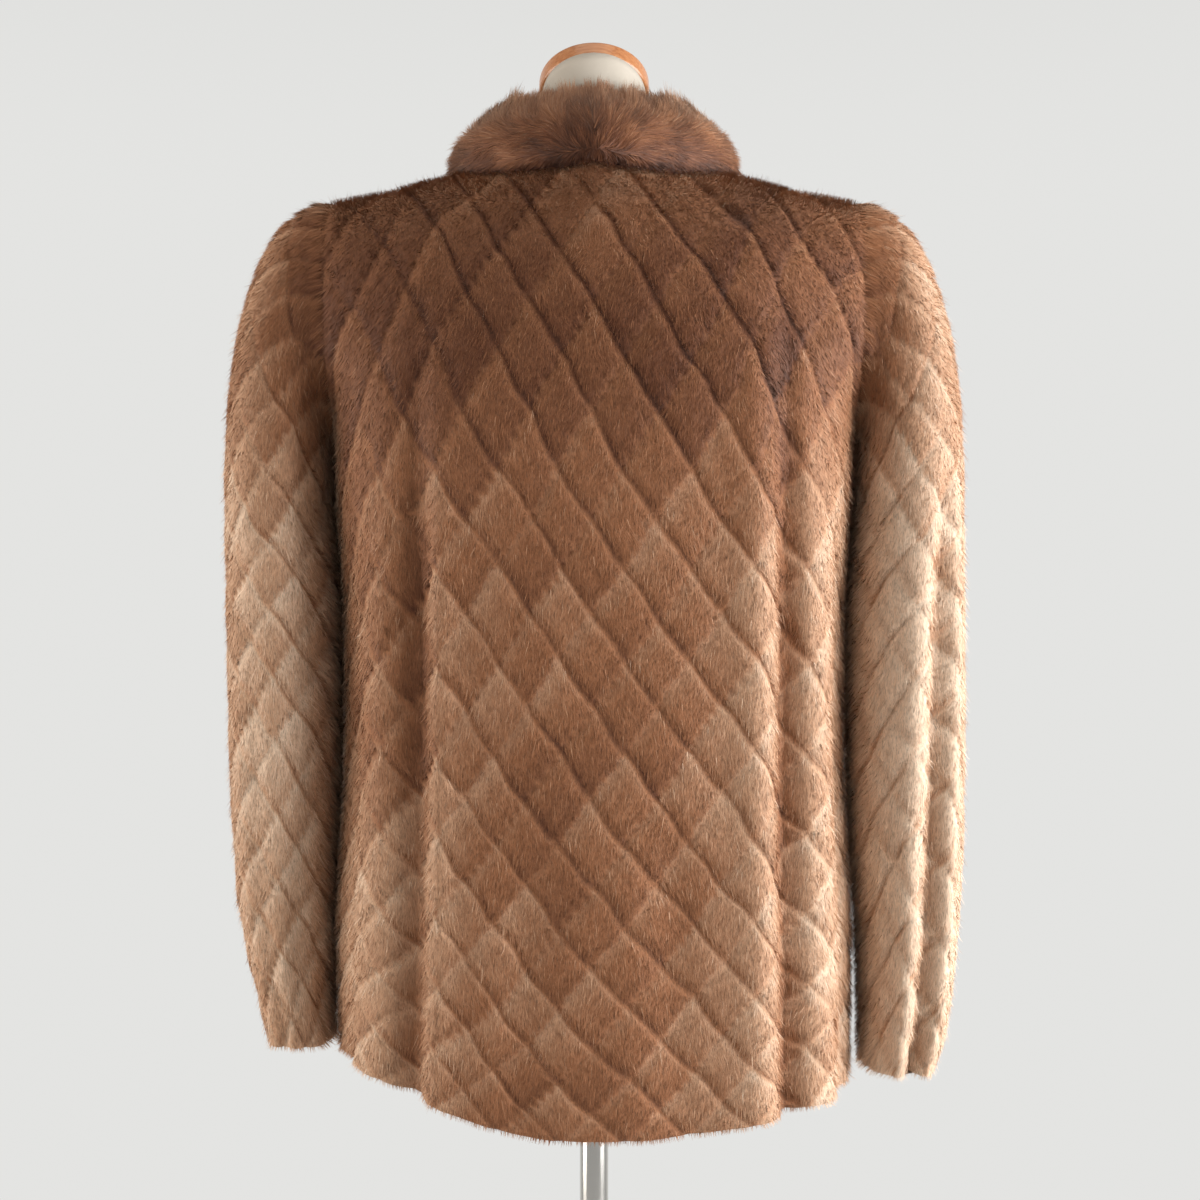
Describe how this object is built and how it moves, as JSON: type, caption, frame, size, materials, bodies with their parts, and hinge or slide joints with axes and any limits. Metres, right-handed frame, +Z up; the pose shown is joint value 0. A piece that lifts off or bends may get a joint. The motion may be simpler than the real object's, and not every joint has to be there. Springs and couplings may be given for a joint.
{
  "type": "fur jacket on a dress form stand",
  "caption": "Hip-length brown fur jacket pieced in diamonds, with long sleeves and a stand collar, worn by a limbless dress form on a pole and round base plate.",
  "frame": {"origin": "on the floor, at the centre of the base plate's underside, straight under the pole", "axes": "+Z up, -Y towards the front opening of the jacket, +Y towards its back, +X towards the wearer's left"},
  "size_m": [0.5639, 0.34, 1.4819],
  "materials": {
    "fur": "brown mink fur pieced in diamonds, soft pile with a low sheen",
    "collar_fur": "brown mink fur in long pieces, soft pile with a low sheen",
    "form_cloth": "cream jersey stretched over the form, matte",
    "cap_wood": "turned beech, stained and varnished, satin",
    "pole_chrome": "polished chrome plate",
    "base_steel": "off-white powder coat, satin"
  },
  "bodies": {
    "root": {"back": "fur", "front_left": "fur", "front_right": "fur", "sleeve_left": "fur", "sleeve_right": "fur", "collar": "collar_fur", "form_torso": "form_cloth", "neck_cap": "cap_wood", "pole": "pole_chrome", "pole_hub": "pole_chrome", "base_plate": "base_steel"}
  },
  "joints": []
}
